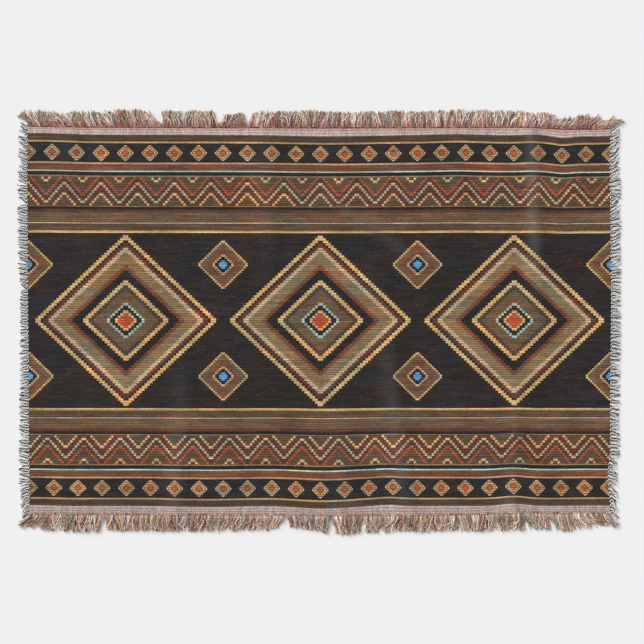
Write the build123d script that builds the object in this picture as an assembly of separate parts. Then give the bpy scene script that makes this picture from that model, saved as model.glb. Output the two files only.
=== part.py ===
from build123d import *
import math
import os

# A woven throw blanket, laid out flat with a few low folds in its cloth. Millimetres, Z up.
# X runs along the weft, the long way of the cloth, and Y along the warp.
# The origin is on the floor, under the middle of the whole outline.

# The cloth
FIELD_LENGTH = 1316.0    # along the weft, from selvedge to selvedge
FIELD_DEPTH = 836.0      # along the warp, from heading to heading
FIELD_THICK = 2.4
HEADING_DEPTH = 18.0     # the ribbed band past each end of the field
HEADING_THICK = 2.9      # over its ribs
RIB_PITCH = 6.0
GROOVE_WIDTH = 1.2       # between two ribs
GROOVE_DEPTH = 0.6
LOCK_ROW_WIDTH = 3.0     # the row of stitches that holds the warp ends
LOCK_ROW_THICK = 3.4
SELVEDGE_WIDTH = 3.0     # the cord down each side
SELVEDGE_THICK = 3.0
SELVEDGE_ROUND = 1.0     # the rounding of its upper corners

# Low folds that run the whole way across, each one a rise, a crest and a fall of equal arcs
# (place as a share of half the field's length, half of the fold's width, height)
FOLDS = [
    (-0.57, 48.0, 3.5),
    (-0.195, 60.0, 4.0),
    (0.27, 50.0, 3.0),
    (0.735, 42.0, 5.5),
]

# The warp fringe: long tufts of many twisted ends
WARP_BAND = 2.0          # where the ends still lie side by side
WARP_BAND_THICK = 2.6
WARP_PITCH = 17.5
WARP_TUFT_GAP = 1.8      # between two tufts at their roots
WARP_TUFT_THICK = 3.6

# The weft fringe: short tufts of black and white ends
WEFT_BAND = 1.5
WEFT_BAND_THICK = 2.2
WEFT_PITCH = 13.0
WEFT_TUFT_GAP = 1.6
WEFT_TUFT_THICK = 2.6

# What both fringes share
CLUMP_GAP = 0.2          # between two clumps, so that each one is a piece of its own
ROOT_DEPTH = 1.2         # how far a tuft's root starts inside its band
TIP_SIZE = 0.42          # a tuft's width and thickness at its tip, as a share of the root's
CUT_SHARES = (1.0, 1.05, 0.96, 1.02, 0.94, 1.04, 0.98)    # tufts are cut unevenly, in this turn
SWAY_SHARES = (0.0, 0.04, -0.03, 0.05, -0.04)             # and bend unevenly, for their width

# Across a tuft, seen from its tip, as shares of its width and thickness: flat on the floor
WARP_OUTLINE = [(-0.42, 0), (0.42, 0), (0.5, 0.6), (0, 1), (-0.5, 0.6)]
WEFT_OUTLINE = [(-0.5, 0), (0.5, 0), (0.3, 1), (-0.3, 1)]

# Along a tuft: (share of its reach, share of its sideways run, size, share of the cloth's lift)
WARP_STATIONS = [(0, 0, 1, 1), (0.5, 0.36, 0.86, 0.5), (1, 1, TIP_SIZE, 0)]
WEFT_STATIONS = [(0, 0, 1, 0), (1, 1, TIP_SIZE, 0)]

# Clumps of each fringe, from -X to +X or from -Y to +Y
# (share of the edge, lean of the first and last tuft in degrees, length of the first and last)
# A positive lean is towards +X on the warp fringe and towards +Y on the weft fringe.
CLUMPS = {
    "top": [
        (82, -50.0, -20.0, 39.5, 40.5),
        (52, -14.0, -30.0, 40.5, 31.5),
        (55, -6.0, 6.0, 40.5, 38.5),
        (30, 16.0, 4.0, 35.5, 38.5),
        (63, 12.0, 4.0, 39.5, 40.5),
        (44, 10.0, -14.0, 40.5, 35.5),
        (80, -8.0, 8.0, 39.5, 39.5),
        (47, 8.0, 2.0, 40.5, 40.5),
        (69, 4.0, 24.0, 40.5, 37.5),
        (62, 42.0, 60.0, 31.5, 38.5),
    ],
    "bottom": [
        (75, -54.0, -6.0, 35.5, 40.5),
        (57, 2.0, -14.0, 40.5, 40.5),
        (55, -16.0, -22.0, 40.5, 40.5),
        (69, -14.0, -20.0, 40.5, 33.5),
        (46, 30.0, -8.0, 23.5, 40.5),
        (33, 12.0, -2.0, 43.5, 42.5),
        (37, 0.0, 2.0, 41.5, 39.5),
        (80, 0.0, 4.0, 39.5, 39.5),
        (106, 4.0, 38.0, 39.5, 35.5),
        (26, 40.0, 56.0, 31.5, 39.5),
    ],
    "left": [
        (16, -36.0, 26.0, 24.0, 25.0),
        (22, 16.0, -14.0, 25.0, 24.0),
        (20, -10.0, 12.0, 25.0, 26.0),
        (22, 18.0, 2.0, 24.0, 25.0),
        (20, 22.0, 32.0, 25.0, 24.0),
    ],
    "right": [
        (22, -38.0, -20.0, 25.0, 24.0),
        (20, -10.0, 4.0, 25.0, 25.0),
        (20, -2.0, 8.0, 24.0, 25.0),
        (20, 4.0, 28.0, 25.0, 24.0),
        (18, 20.0, 36.0, 25.0, 25.0),
    ],
}

HALF_LENGTH = FIELD_LENGTH / 2
HEADING_AT = FIELD_DEPTH / 2
LOCK_ROW_AT = HEADING_AT + HEADING_DEPTH
WARP_ROOT_AT = LOCK_ROW_AT + LOCK_ROW_WIDTH
WEFT_ROOT_AT = HALF_LENGTH + SELVEDGE_WIDTH

# Each edge's own directions: along it, and outwards from the cloth
EDGES = {
    "top": (Vector(1, 0, 0), Vector(0, 1, 0)),
    "bottom": (Vector(1, 0, 0), Vector(0, -1, 0)),
    "left": (Vector(0, 1, 0), Vector(-1, 0, 0)),
    "right": (Vector(0, 1, 0), Vector(1, 0, 0)),
}


def fold_arc(half_width, height):
    """The angle that each arc of a fold turns through, and its radius."""
    turn = 2 * math.atan(height / half_width)
    return turn, half_width / 2 / math.sin(turn)


def lift(x):
    """How far the cloth's underside is off the floor."""
    for place, half_width, height in FOLDS:
        away = abs(x - place * HALF_LENGTH)
        turn, radius = fold_arc(half_width, height)
        if away < half_width / 2:
            return height - radius + math.sqrt(radius**2 - away**2)
        if away < half_width:
            return radius - math.sqrt(radius**2 - (half_width - away) ** 2)
    return 0.0


def fold_line(level):
    """The cloth's section seen along the warp, at one level in its thickness: flats and folds."""
    edges = []
    reached = (-HALF_LENGTH, level)
    for place, half_width, height in FOLDS:
        middle = place * HALF_LENGTH
        turn, radius = fold_arc(half_width, height)
        foot = radius - level
        half_turn = turn / 2
        for side in (-1, 1):
            low = (middle + side * half_width, level)
            halfway = (
                middle + side * (half_width - foot * math.sin(half_turn)),
                radius - foot * math.cos(half_turn),
            )
            flank = (
                middle + side * (half_width - foot * math.sin(turn)),
                radius - foot * math.cos(turn),
            )
            if side < 0:
                edges.append(Line(reached, low))
                edges.append(ThreePointArc(low, halfway, flank))
                rising_flank = flank
            else:
                edges.append(ThreePointArc(rising_flank, (middle, height + level), flank))
                edges.append(ThreePointArc(flank, halfway, low))
                reached = low
    edges.append(Line(reached, (HALF_LENGTH, level)))
    return edges


def layer(low, high, near, far):
    """Folded cloth between two levels of its thickness, from Y = near to Y = far."""
    ends = [Line((x, low), (x, high)) for x in (-HALF_LENGTH, HALF_LENGTH)]
    section = make_face(fold_line(low) + fold_line(high) + ends)
    return extrude(Plane.XZ.offset(-far) * section, amount=far - near)


def across(side, start, end):
    """The Y of a strip's near and far edge, given outwards from the middle of the cloth."""
    if side == "top":
        return start, end
    return -end, -start


def heading(side):
    """The plain band at one end of the field, with ribs where its thick wefts lie."""
    band = layer(0, HEADING_THICK, *across(side, HEADING_AT, LOCK_ROW_AT))
    grooves = int((HEADING_DEPTH - GROOVE_WIDTH) // RIB_PITCH)
    for number in range(1, grooves + 1):
        start = HEADING_AT + number * RIB_PITCH - GROOVE_WIDTH / 2
        place = across(side, start, start + GROOVE_WIDTH)
        band -= layer(HEADING_THICK - GROOVE_DEPTH, HEADING_THICK + GROOVE_DEPTH, *place)
    return band


def selvedge(side):
    """The cord down one side, square against the cloth and rounded on top."""
    outward = EDGES[side][1].X
    cord = Box(SELVEDGE_WIDTH, 2 * WARP_ROOT_AT, SELVEDGE_THICK)
    upper = cord.edges().filter_by(Axis.Y).group_by(Axis.Z)[-1]
    cord = fillet(upper, SELVEDGE_ROUND)
    return Pos(outward * (HALF_LENGTH + SELVEDGE_WIDTH / 2), 0, SELVEDGE_THICK / 2) * cord


def tuft(side, along, root_at, raised, lean, length, width, thick, sway_share):
    """A tapered tuft that leans sideways and comes down to the floor at its tip."""
    run, outward = EDGES[side]
    outline, stations = WEFT_OUTLINE, WEFT_STATIONS
    if side in ("top", "bottom"):
        outline, stations = WARP_OUTLINE, WARP_STATIONS
    reach = length * math.cos(math.radians(lean)) + ROOT_DEPTH
    drift = length * math.sin(math.radians(lean))
    rings = []
    for out_share, drift_share, size, raised_share in stations:
        bend = width * sway_share if 0 < out_share < 1 else 0
        middle = run * (along + drift * drift_share + bend)
        middle += outward * (root_at - ROOT_DEPTH + reach * out_share)
        middle += Vector(0, 0, raised * raised_share)
        rings.append(
            [
                middle + run * (across_share * width * size) + Vector(0, 0, up * thick * size)
                for across_share, up in outline
            ]
        )
    corners = [rings[0], rings[-1]]
    for near, far in zip(rings, rings[1:]):
        for index in range(len(outline)):
            corners.append([near[index - 1], near[index], far[index], far[index - 1]])
    return Solid(Shell([Face(Wire.make_polygon(points)) for points in corners]))


def clump(side, start, end, spec, first_tuft):
    """One clump of a fringe: its band of side by side ends, and the tufts that leave it."""
    _, first_lean, last_lean, first_length, last_length = spec
    warp = side in ("top", "bottom")
    if warp:
        root_at, band_depth, band_thick = WARP_ROOT_AT, WARP_BAND, WARP_BAND_THICK
        pitch, gap, thick = WARP_PITCH, WARP_TUFT_GAP, WARP_TUFT_THICK
        band = layer(0, band_thick, *across(side, root_at, root_at + band_depth))
        band &= Pos((start + end) / 2, 0, 0) * Box(end - start, 4 * root_at, 4 * root_at)
    else:
        root_at, band_depth, band_thick = WEFT_ROOT_AT, WEFT_BAND, WEFT_BAND_THICK
        pitch, gap, thick = WEFT_PITCH, WEFT_TUFT_GAP, WEFT_TUFT_THICK
        outward = EDGES[side][1].X
        middle = Pos(outward * (root_at + band_depth / 2), (start + end) / 2, band_thick / 2)
        band = middle * Box(band_depth, end - start, band_thick)

    count = max(2, round((end - start) / pitch))
    spacing = (end - start) / count
    tufts = []
    for number in range(count):
        along = start + spacing * (number + 0.5)
        share = number / (count - 1)
        raised = min(lift(along - spacing / 2), lift(along + spacing / 2)) if warp else 0
        length = first_length + (last_length - first_length) * share
        turn = first_tuft + number
        tufts.append(
            tuft(
                side,
                along,
                root_at + band_depth,
                raised,
                first_lean + (last_lean - first_lean) * share,
                length * CUT_SHARES[turn % len(CUT_SHARES)],
                spacing - gap,
                thick,
                SWAY_SHARES[turn % len(SWAY_SHARES)],
            )
        )
    return band + tufts, count


def fringe(side):
    """All clumps of one side, which share out its edge between them."""
    half_edge = HALF_LENGTH if side in ("top", "bottom") else WARP_ROOT_AT
    shares = [spec[0] for spec in CLUMPS[side]]
    clumps = {}
    start = -half_edge
    first_tuft = 0
    for number, spec in enumerate(CLUMPS[side], start=1):
        end = start + 2 * half_edge * spec[0] / sum(shares)
        piece, count = clump(side, start + CLUMP_GAP / 2, end - CLUMP_GAP / 2, spec, first_tuft)
        clumps[f"fringe_{side}_{number}"] = piece
        start = end
        first_tuft += count
    return clumps


def build():
    """Every piece of the throw by name, about the middle of its field."""
    pieces = {"field": layer(0, FIELD_THICK, -HEADING_AT, HEADING_AT)}
    for side in ("top", "bottom"):
        pieces[f"heading_{side}"] = heading(side)
        row = across(side, LOCK_ROW_AT, WARP_ROOT_AT)
        pieces[f"lock_row_{side}"] = layer(0, LOCK_ROW_THICK, *row)
    for side in ("left", "right"):
        pieces[f"selvedge_{side}"] = selvedge(side)
    for side in EDGES:
        pieces.update(fringe(side))
    return pieces


def main():
    pieces = build()
    box = Compound(children=[Compound(piece.solids()) for piece in pieces.values()]).bounding_box()
    middle = box.center()
    to_origin = Pos(-middle.X, -middle.Y, 0)
    os.makedirs("parts", exist_ok=True)
    for name, piece in pieces.items():
        export_step(to_origin * piece, f"parts/{name}.step")
    print(f"{len(pieces)} pieces, {box.size.X:.1f} x {box.size.Y:.1f} x {box.size.Z:.1f} mm")
    print(f"the field's middle is at {-middle.X:.2f}, {-middle.Y:.2f}")


main()
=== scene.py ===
# %% [markdown]
# # A woven throw blanket with fringe on all four sides
# The throw is one sheet of heavy cotton cloth, laid out flat on a pale floor. A ribbed band closes
# each end of the cloth, a row of stitches holds the warp, and the warp ends leave it as a long
# fringe of many colours. The weft ends make a short black and white fringe down both sides.
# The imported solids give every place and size, so the first cell loads them and keeps their box.

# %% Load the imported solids
import math
from functools import partialmethod

import bpy
import numpy as np
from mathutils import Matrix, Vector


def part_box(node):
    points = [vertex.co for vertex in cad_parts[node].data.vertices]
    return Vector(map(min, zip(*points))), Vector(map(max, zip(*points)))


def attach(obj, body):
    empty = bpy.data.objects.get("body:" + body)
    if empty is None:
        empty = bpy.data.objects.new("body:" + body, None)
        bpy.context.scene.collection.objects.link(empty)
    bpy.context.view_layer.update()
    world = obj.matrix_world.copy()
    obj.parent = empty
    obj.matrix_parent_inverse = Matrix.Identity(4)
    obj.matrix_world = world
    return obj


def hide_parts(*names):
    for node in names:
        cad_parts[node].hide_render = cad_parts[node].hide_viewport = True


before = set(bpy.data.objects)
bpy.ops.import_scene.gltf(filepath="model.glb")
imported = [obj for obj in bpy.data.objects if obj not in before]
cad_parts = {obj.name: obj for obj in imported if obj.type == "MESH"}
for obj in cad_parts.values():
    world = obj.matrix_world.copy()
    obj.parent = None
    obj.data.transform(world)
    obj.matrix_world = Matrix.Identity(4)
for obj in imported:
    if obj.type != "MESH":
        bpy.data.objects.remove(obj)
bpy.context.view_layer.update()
MM = 0.001

# %% [markdown]
# ## Measures of the cloth
# The sizes are those of the solids, in millimetres: X runs along the weft and Y along the warp. The
# ribs of the field are too fine for the solids, so their number and their grooves are set here.
# The middle of the cloth is read from the solid that the new cloth stands for.

# %% Measures
FIELD_LENGTH = 1316.0
FIELD_DEPTH = 836.0
FIELD_THICK = 2.4
FIELD_GROOVE = 1.7
FIELD_RIBS = 158
HEADING_DEPTH = 18.0
HEADING_THICK = 2.9
HEADING_GROOVE = 1.95
RIB_PITCH = 6.0
LOCK_ROW_WIDTH = 3.0
SELVEDGE_WIDTH = 3.0
HALF_LENGTH = FIELD_LENGTH / 2
HEADING_AT = FIELD_DEPTH / 2
LOCK_ROW_AT = HEADING_AT + HEADING_DEPTH
WARP_ROOT_AT = LOCK_ROW_AT + LOCK_ROW_WIDTH
WEFT_ROOT_AT = HALF_LENGTH + SELVEDGE_WIDTH

low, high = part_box("field")
MIDDLE = (low + high) / 2 / MM
print("middle of the cloth, mm:", [round(value, 2) for value in MIDDLE])

# %% [markdown]
# ## The camera
# The photograph is taken from straight above, so the camera looks down at the middle of the cloth.
# A long lens keeps the fringe at the edges from leaning outwards. Its distance comes from the
# width of floor that the picture shows, and the throw lies a little up and left of its centre.

# %% Place the camera
LENS = 85.0
SENSOR = 36.0
SHOWN_WIDTH = 1453.5
CAMERA_ASIDE = (3.6, -3.4)

bpy.ops.object.camera_add(
    location=(
        (MIDDLE.x + CAMERA_ASIDE[0]) * MM,
        (MIDDLE.y + CAMERA_ASIDE[1]) * MM,
        SHOWN_WIDTH * LENS / SENSOR * MM,
    ),
    rotation=(0, 0, 0),
)
camera = bpy.context.object
camera.data.lens = LENS
camera.data.sensor_width = SENSOR
bpy.context.scene.camera = camera
print("camera height in metres:", round(camera.location.z, 3))

# %% [markdown]
# ## How the edges wander
# Woven cloth never lies quite straight, and its edges wander by a few millimetres. An edge could be
# drawn as a curve, but a few soft waves say the same in one line each: where a wave is, how wide it
# is, and how far it shifts the edge.

# %% Say how the edges wander
WARP_SIDES = ("top", "bottom")

# (place along the edge, width of the wave, shift), in mm; a row is the line of lock stitches
EDGE_WAVES = {
    "top": [
        (-640, 90, 4.2), (20, 150, -3.2), (305, 60, 1.6),
        (415, 40, -1.0), (550, 30, -6.0), (620, 60, -3.4),
    ],
    "bottom": [
        (-650, 50, 1.8), (-246, 90, -2.6), (5, 75, -6.2),
        (158, 36, 2.8), (438, 36, 5.4), (620, 60, 1.0),
    ],
    "top row": [(-650, 50, 1.6), (0, 500, -2.6), (560, 70, -4.8), (650, 60, -3.6)],
    "bottom row": [(-640, 200, 2.2), (60, 200, -0.8), (440, 60, 3.0), (600, 200, 4.6)],
    "left": [(430, 500, -2.2), (-430, 300, 2.6), (-60, 60, 0.8)],
    "right": [(0, 2000, -5.2), (-352, 40, -5.4), (60, 160, 2.4), (330, 60, -0.8)],
}


def edge_wave(side, along):
    """How far one edge has wandered, at each place along it."""
    waves = EDGE_WAVES[side]
    return sum([shift * np.exp(-(((along - place) / width) ** 2)) for place, width, shift in waves])


print("shift of the right edge at its middle, mm:", round(float(edge_wave("right", 0.0)), 2))

# %% [markdown]
# ## Folds and swells
# Where the throw was folded, low ridges stay in it and fade out, and between them the cloth swells
# by a few tenths of a millimetre. Both are sums of smooth curves over the flat cloth, because every
# part of the throw has to know how high the cloth lies at its own place.

# %% Say where the folds run
# (highest place, end, half width, height), in mm; a fold fades both ways from its highest place
RIDGES = [
    ((-330, -470), (-302, 40), 42, 4.4),
    ((-126, 470), (-120, -60), 50, 3.4),
    ((196, -470), (120, 200), 44, 4.6),
    ((474, 470), (494, -120), 36, 6.8),
    ((432, -470), (450, 40), 32, 4.2),
    ((-560, 470), (-610, 60), 46, 2.6),
    ((60, -470), (16, -60), 58, 3.0),
    ((300, 470), (322, 120), 42, 2.2),
    ((107, 213), (268, 102), 34, 4.4),
]
FADING_SHARE = 0.55

# (waves across X, waves across Y, turn), each a low swell in cloth that isn't pressed
SWELLS = [(3.1, 1.2, 0.4), (-2.2, 2.3, 1.9), (5.3, -1.6, 3.3), (1.4, 3.7, 5.0), (7.9, 2.9, 2.2)]
SWELL_HEIGHT = 0.22


def smooth(share):
    """0 before the start, 1 after the end, and a soft turn at both."""
    share = np.clip(share, 0, 1)
    return share * share * (3 - 2 * share)


def fold_height(x, y):
    """How high the old folds stand."""
    height = np.zeros_like(x)
    for start, end, half_width, ridge_height in RIDGES:
        run = np.subtract(end, start)
        share = ((x - start[0]) * run[0] + (y - start[1]) * run[1]) / (run @ run)
        away = np.hypot(x - start[0] - share * run[0], y - start[1] - share * run[1])
        crest = 0.5 + 0.5 * np.cos(math.pi * np.clip(away / half_width, 0, 1))
        height += ridge_height * crest * smooth((1 - np.abs(share)) / FADING_SHARE)
    return height


def lift(x, y):
    """How far the underside of the cloth is off the floor."""
    height = fold_height(x, y)
    for across_x, across_y, turn in SWELLS:
        phase = (across_x * x / HALF_LENGTH + across_y * y / HEADING_AT) * math.pi + turn
        height += SWELL_HEIGHT * (1 + np.sin(phase))
    return height


print("folds:", len(RIDGES), "the highest", max(ridge[-1] for ridge in RIDGES), "mm")

# %% [markdown]
# ## From the flat cloth to the floor
# One function turns a point of the flat cloth into its place on the floor. All pieces use it, so
# that fringe, stitches and cords stay on the cloth. An edge pulls the cloth beside it along, and the
# pull dies away towards the middle.


# %% Lay points of the cloth
def laid(flat):
    """Where points of the flat cloth lie on the floor, as an array of X, Y and lift in mm."""
    x, y = np.asarray(flat, float)[:, 0], np.asarray(flat, float)[:, 1]
    towards = {"top": y / HEADING_AT, "bottom": -y / HEADING_AT}
    towards |= {"right": x / HALF_LENGTH, "left": -x / HALF_LENGTH}
    share = {side: np.clip(value, 0, 1) ** 2 for side, value in towards.items()}
    over_heading = np.clip((np.abs(y) - HEADING_AT) / HEADING_DEPTH, 0, 1)
    new_x = x + share["right"] * edge_wave("right", y) + share["left"] * edge_wave("left", y)
    new_y = y.copy()
    for side in WARP_SIDES:
        at_field, at_row = edge_wave(side, x), edge_wave(f"{side} row", x)
        new_y += share[side] * (at_field + (at_row - at_field) * over_heading)
    return np.column_stack([new_x + MIDDLE.x, new_y + MIDDLE.y, lift(x, y)])


corner_places = laid([(-HALF_LENGTH, HEADING_AT), (HALF_LENGTH, -HEADING_AT)])
print("two corners of the field, laid:", corner_places.round(1).tolist())

# %% [markdown]
# ## The sheet of cloth
# The field and its two headings are woven in one piece, so they are one grid here. The grid is
# resized to the field, and has two rows of faces for each of the field's ribs. Each heading grows
# from its edge by extruding the outermost row a millimetre at a time, which leaves rows close
# enough to shape its three ribs. The flat shape is stored as a UV map in metres before the cloth
# is laid, so the woven design bends with it.


# %% Weave the flat sheet
def select_only(*pieces):
    """Leaves just these pieces selected, the first one active, for the next operator."""
    bpy.ops.object.select_all(action="DESELECT")
    for piece in reversed(pieces):
        piece.select_set(True)
        bpy.context.view_layer.objects.active = piece


def gathered(items, name, width=1, kind=float):
    """What every item of a mesh holds under one name, as an array."""
    values = np.empty(len(items) * width, dtype=kind)
    items.foreach_get(name, values)
    return values.reshape(-1, width) if width > 1 else values


def places_of(mesh):
    """The mesh's points as an array, in mm."""
    return gathered(mesh.vertices, "co", 3) / MM


CELL = 10.0
ROWS_IN_RIB = 2
FIELD_ROW = FIELD_DEPTH / FIELD_RIBS / ROWS_IN_RIB
HEADING_ROW = 1.0

select_only()
bpy.ops.mesh.primitive_grid_add(
    x_subdivisions=round(FIELD_LENGTH / CELL), y_subdivisions=FIELD_RIBS * ROWS_IN_RIB, size=1
)
cloth = bpy.context.object
cloth.name = "woven_cloth"
bpy.ops.object.mode_set(mode="EDIT")
bpy.ops.transform.resize(value=(FIELD_LENGTH * MM, FIELD_DEPTH * MM, 1))
bpy.ops.mesh.select_mode(type="EDGE")
for outward in (1, -1):
    bpy.ops.mesh.select_all(action="DESELECT")
    bpy.ops.object.mode_set(mode="OBJECT")
    rim = outward * places_of(cloth.data)[:, 1] > HEADING_AT - FIELD_ROW / 2
    for edge in cloth.data.edges:
        edge.select = bool(rim[edge.vertices[0]] and rim[edge.vertices[1]])
    bpy.ops.object.mode_set(mode="EDIT")
    for row in range(round(HEADING_DEPTH / HEADING_ROW)):
        bpy.ops.mesh.extrude_region_move(
            TRANSFORM_OT_translate={"value": (0, outward * HEADING_ROW * MM, 0)}
        )
bpy.ops.mesh.select_mode(type="VERT")
bpy.ops.mesh.select_all(action="SELECT")
bpy.ops.mesh.normals_make_consistent(inside=False)
bpy.ops.object.mode_set(mode="OBJECT")
print("flat sheet:", len(cloth.data.vertices), "points,", [round(v, 4) for v in cloth.dimensions])

# %% [markdown]
# ## Lay it down and give it thickness
# The UV map keeps each point's place in the flat cloth. Then every point moves to where it lies.
# A vertex group holds the thickness: full on the crest of a rib, and less in the groove between two
# ribs. Solidify reads it, so the ribs of the field and the headings stand out on both faces. An
# attribute says how far each point is up a fold, which is where the field's finish paints a pale
# highlight.

# %% Lay the sheet and thicken it
RIB_FULLNESS = 0.7
STEP_UP = 2.0
CREASE = math.radians(50)
# How high a fold stands where its painted highlight is full, and how fast the highlight fades down its
# sides
HIGHLIGHT_FULL_AT = 6.8
HIGHLIGHT_NARROWNESS = 2.2

flat = places_of(cloth.data)
while cloth.data.uv_layers:
    cloth.data.uv_layers.remove(cloth.data.uv_layers[0])
weave_map = cloth.data.uv_layers.new(name="flat_cloth")
corner_points = gathered(cloth.data.loops, "vertex_index", kind=np.int32)
weave_map.data.foreach_set("uv", (flat[corner_points, :2] * MM).ravel())

into_heading = np.clip(np.abs(flat[:, 1]) - HEADING_AT, 0, HEADING_DEPTH)
heading_rib = np.abs(np.sin(math.pi * into_heading / RIB_PITCH)) ** RIB_FULLNESS
field_rib = np.abs(np.sin(math.pi * FIELD_RIBS * flat[:, 1] / FIELD_DEPTH))
thickness = np.where(
    into_heading > 0,
    HEADING_GROOVE + (HEADING_THICK - HEADING_GROOVE) * heading_rib,
    FIELD_GROOVE + (FIELD_THICK - FIELD_GROOVE) * field_rib,
)
thick_group = cloth.vertex_groups.new(name="thickness")
for value in np.unique(thickness.round(4)):
    points = np.flatnonzero(thickness.round(4) == value)
    thick_group.add(points.tolist(), float(value / HEADING_THICK), "REPLACE")

places = laid(flat[:, :2])
places[:, 2] += FIELD_THICK / 2 + (HEADING_THICK - FIELD_THICK) / 2 * smooth(into_heading / STEP_UP)
cloth.data.vertices.foreach_set("co", (places * MM).ravel())
cloth.data.update()

bpy.ops.object.modifier_add(type="SOLIDIFY")
thicken = cloth.modifiers[-1]
thicken.thickness = HEADING_THICK * MM
thicken.offset = 0
thicken.vertex_group = thick_group.name
bpy.ops.object.modifier_apply(modifier=thicken.name)
bpy.ops.object.shade_smooth_by_angle(angle=CREASE)

laid_points = places_of(cloth.data)
# The strength of the painted highlight along the folds, kept as an attribute for the field's finish
folds = fold_height(laid_points[:, 0] - MIDDLE.x, laid_points[:, 1] - MIDDLE.y)
highlight_attribute = cloth.data.attributes.new("fold_highlight", "FLOAT", "POINT")
highlight_strength = np.clip(folds / HIGHLIGHT_FULL_AT, 0, 1) ** HIGHLIGHT_NARROWNESS
highlight_attribute.data.foreach_set("value", highlight_strength.astype(np.float32))
print("laid sheet:", len(cloth.data.polygons), "faces, highest", places[:, 2].max().round(2), "mm")

# %% [markdown]
# ## Yarn colours
# The throw is woven from a few dyed cottons. They are written once, as they look in daylight, and
# turned into the linear values that Blender's colour sockets expect. Two entries are no yarn but
# painted light: the shade painted into the headings' grooves and the highlight painted along the
# folds and the crests of the ribs.

# %% Dye the yarns
YARNS = {
    "charcoal": "1f1915", "soft black": "191411", "umber": "4a3a2c", "weathered brown": "6b543b",
    "bark": "5a4632", "driftwood": "86704f", "ochre": "d0ab71", "sand": "c0a882", "rust": "74452e",
    "madder": "5e3526", "orange red": "b5502e", "sky blue": "5f97cc", "pale teal": "a3c0ab",
    "ecru": "cfbab2", "painted groove shade": "8b7876", "painted highlight": "c9cacc", "wine": "662c35", "red": "b5474a",
    "dusty red": "a06660", "rose": "c39a92", "cream": "e2d4c5", "olive": "857a5e",
    "grey teal": "87958d", "amber": "bd9468", "brown": "7f5c49", "taupe": "a68c7f",
    "slate": "4f4a4b", "violet blue": "7f8096", "weft black": "1b1c1f", "weft white": "fbfaf7",
}


def dye(name):
    """A yarn's colour in linear values, from the way that it looks."""
    shown = np.array([int(YARNS[name][at : at + 2], 16) / 255 for at in (0, 2, 4)])
    linear = np.where(shown <= 0.04045, shown / 12.92, ((shown + 0.055) / 1.055) ** 2.4)
    return (*linear.tolist(), 1.0)


print("yarns dyed:", len(YARNS))

# %% [markdown]
# ## Sums as Math nodes
# A woven pattern is arithmetic on thread numbers, so most nodes in its shader trees are Math nodes.
# Added one by one they are hard to read. So a Reading stands for what a socket gives, and a sign
# between two readings adds the Math node that works it out: a tree then reads as plain sums.


# %% Helpers for sums
def set_input(socket, value):
    """Links a socket to a reading, or sets its plain value."""
    if isinstance(value, Reading):
        value.tree.links.new(value.socket, socket)
    else:
        socket.default_value = value


def add_node(tree, kind, *values, **settings):
    """One new node, with its settings made and its first inputs linked or set."""
    node = tree.nodes.new(f"ShaderNode{kind}")
    for name, setting in settings.items():
        setattr(node, name, setting)
    for socket, value in zip(node.inputs, values):
        set_input(socket, value)
    return node


class Reading:
    """What one socket gives. A sign or method adds a Math node and gives back that node's reading."""

    def __init__(self, socket):
        self.socket = socket
        self.tree = socket.id_data

    def maths(self, operation, *others):
        node = add_node(self.tree, "Math", self, *others, operation=operation)
        return Reading(node.outputs[0])

    __add__ = partialmethod(maths, "ADD")
    __sub__ = partialmethod(maths, "SUBTRACT")
    __mul__ = partialmethod(maths, "MULTIPLY")
    __truediv__ = partialmethod(maths, "DIVIDE")
    __mod__ = partialmethod(maths, "MODULO")
    __pow__ = partialmethod(maths, "POWER")
    __lt__ = partialmethod(maths, "LESS_THAN")
    __gt__ = partialmethod(maths, "GREATER_THAN")
    __abs__ = partialmethod(maths, "ABSOLUTE")
    whole = partialmethod(maths, "FLOOR")
    to_and_fro = partialmethod(maths, "PINGPONG")


print("signs that add a node: + - * / % ** < > and abs()")

# %% [markdown]
# ## Other nodes
# The rest of a pattern needs places, ranges, noise and colours. Each of these helpers adds one node,
# sets or links its inputs, and gives back its reading.


# %% Helpers for other nodes
def parts_of(place):
    """The X, Y and Z of a place."""
    return [Reading(socket) for socket in add_node(place.tree, "SeparateXYZ", place).outputs]


def point(x, y=0.0, z=0.0):
    """A place, from its X, Y and Z."""
    return Reading(add_node(x.tree, "CombineXYZ", x, y, z).outputs[0])


def stretched(value, low_out, high_out, low_in=0.0, high_in=1.0):
    """A value that runs between two others while the given one runs between its own two."""
    node = add_node(value.tree, "MapRange", value, low_in, high_in, low_out, high_out)
    return Reading(node.outputs[0])


def mixed(share, first, second, blend="MIX"):
    """One colour mix, from the first colour at 0 to the second at 1."""
    tree = next(value.tree for value in (share, first, second) if isinstance(value, Reading))
    node = add_node(tree, "Mix", data_type="RGBA", blend_type=blend)
    for number, value in ((0, share), (6, first), (7, second)):
        set_input(node.inputs[number], value)
    return Reading(node.outputs[2])


def shaded(colour, shade):
    """A colour times a shade."""
    return mixed(1.0, colour, point(shade, shade, shade), "MULTIPLY")


def streaks(place, scale, detail, roughness):
    """Soft noise on a place, which may be stretched already."""
    node = add_node(place.tree, "TexNoise", place)
    for name, value in (("Scale", scale), ("Detail", detail), ("Roughness", roughness)):
        node.inputs[name].default_value = value
    return Reading(node.outputs[0])


def chance(place):
    """A number from 0 to 1 for each whole place."""
    return Reading(add_node(place.tree, "TexWhiteNoise", place, noise_dimensions="3D").outputs[0])


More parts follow.
